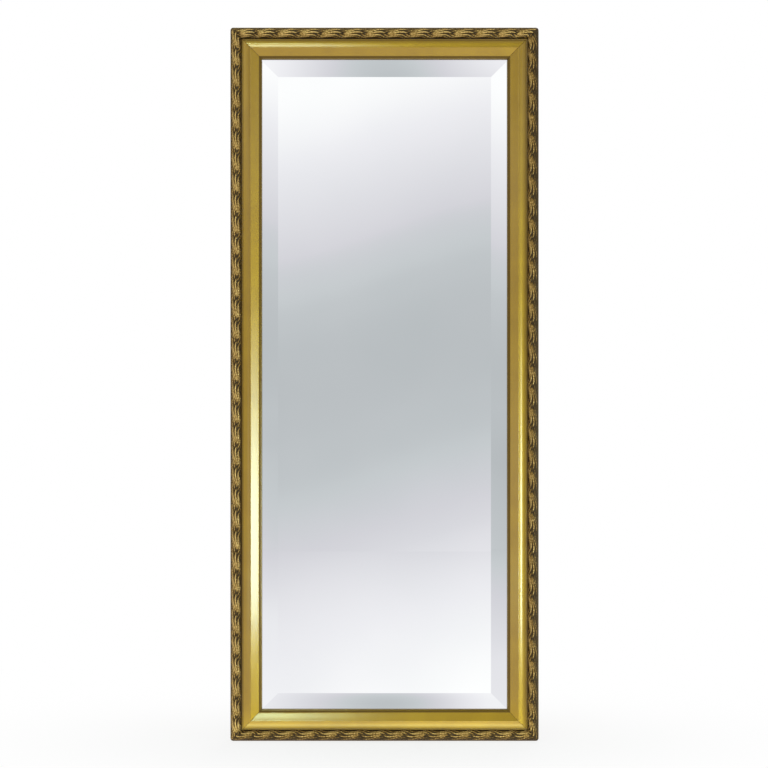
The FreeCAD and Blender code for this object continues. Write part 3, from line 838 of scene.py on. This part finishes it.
panel = stage_plane(
    "studio_panel",
    [
        (x * panel_half_width, panel_y, floor_level + z * panel_height)
        for x, z in ((-1, 0), (-1, 1), (1, 1), (1, 0))
    ],
    new_material("painted_light_panel", painted_light_panel),
)
panel.visible_camera = False
panel.visible_shadow = False

# Lamps: two soft boxes overhead on the left, near and far, a low one on the right with a bright core, and
# one behind for the back of the frame. Each is a lit rectangle of cloth that fades to its edges.

# Middle of a lamp's face, which runs from 0 to 1, and how far from it the edge and the core lie
lamp_middle = 0.5
lamp_edge = 0.5
lamp_core = 0.2
lamp_core_gain = 1.2

# Each lamp: place, aim, width, height, radiance and colour
lamps = {
    "near_overhead_softbox": (
        (-0.4, -0.98, middle + 2.13), (-0.1, 0.0, middle + 0.63), 0.9, 0.6, 5.4, "#DDF8EC",
    ),
    "far_overhead_softbox": (
        (-0.75, -4.2, middle + 3.86), (-0.1, 0.0, middle - 0.61), 1.25, 0.55, 13.0, "#E2FFCF",
    ),
    "low_softbox": (
        (1.4, -1.2, middle - 0.56), (-0.2, 0.0, middle - 0.45), 0.62, 1.7, 5.1, "#CCECEF",
    ),
    "low_softbox_core": (
        (1.38, -1.18, middle - 0.6), (-0.2, 0.0, middle - 0.45), 0.55, 1.2, 5.4, "#CCECEF",
    ),
    "rear_softbox": (
        (0.6, 2.6, middle + 1.6), (0.0, 0.0, middle), 2.0, 1.6, 4.5, "#FFFFFF",
    ),
}
for name, (position, aim, width, height, radiance, colour) in lamps.items():
    lamp = bpy.data.lights.new(name, "AREA")
    lamp.shape = "RECTANGLE"
    lamp.size = width
    lamp.size_y = height
    lamp.energy = radiance * np.pi * width * height
    lamp.color = to_linear(colour)[:3]
    lamp.use_nodes = True
    tree = lamp.node_tree
    tree.nodes.clear()
    spread = add_node(tree, "ShaderNodeNewGeometry", output="Parametric")
    axes = add_node(tree, "ShaderNodeSeparateXYZ", {0: spread}).node.outputs
    strength = 1.0
    for axis in ("X", "Y"):
        offset = add_node(tree, "ShaderNodeMath", {0: axes[axis], 1: lamp_middle}, operation="SUBTRACT")
        away = add_node(tree, "ShaderNodeMath", {0: offset}, operation="ABSOLUTE")
        fade = add_node(
            tree, "ShaderNodeMapRange",
            {"Value": away, "From Min": lamp_edge, "From Max": lamp_core, "To Max": lamp_core_gain},
            interpolation_type="SMOOTHSTEP",
        )
        strength = add_node(tree, "ShaderNodeMath", {0: strength, 1: fade}, operation="MULTIPLY")
    soft = add_node(tree, "ShaderNodeEmission", {"Strength": strength})
    add_node(tree, "ShaderNodeOutputLight", {"Surface": soft})
    holder = bpy.data.objects.new(name, lamp)
    bpy.context.scene.collection.objects.link(holder)
    holder.location = position
    holder.rotation_euler = (Vector(aim) - Vector(position)).to_track_quat("-Z", "Y").to_euler()
    holder.visible_camera = False

# Surround: an even white studio wall all round. The camera sees it at its full white, and the pieces get
# a share of it as fill.
fill_share = 0.38
world = bpy.data.worlds.new("studio")
world.use_nodes = True
bpy.context.scene.world = world
tree = world.node_tree
tree.nodes.clear()
to_camera = add_node(tree, "ShaderNodeLightPath", output="Is Camera Ray")
strength = add_node(
    tree, "ShaderNodeMath", {0: to_camera, 1: 1 - fill_share, 2: fill_share}, operation="MULTIPLY_ADD"
)
backdrop = add_node(tree, "ShaderNodeBackground", {"Color": white, "Strength": strength})
add_node(tree, "ShaderNodeOutputWorld", {"Surface": backdrop})

# Camera: a long lens, level and straight in front of the middle of the frame. It stands far enough back that
# the sides stay square and the whole frame fits.
camera_distance = 3.8637
camera_aside = -1.0 * mm
camera_rise = 0.5 * mm
camera = bpy.data.cameras.new("camera")
camera.lens = 100
camera.sensor_width = 36
viewer = bpy.data.objects.new("camera", camera)
bpy.context.scene.collection.objects.link(viewer)
viewer.location = (camera_aside, frame_low.y - camera_distance, middle + camera_rise)
viewer.rotation_euler = (np.pi / 2, 0.0, 0.0)
bpy.context.scene.camera = viewer
bpy.context.scene.view_settings.view_transform = "Standard"
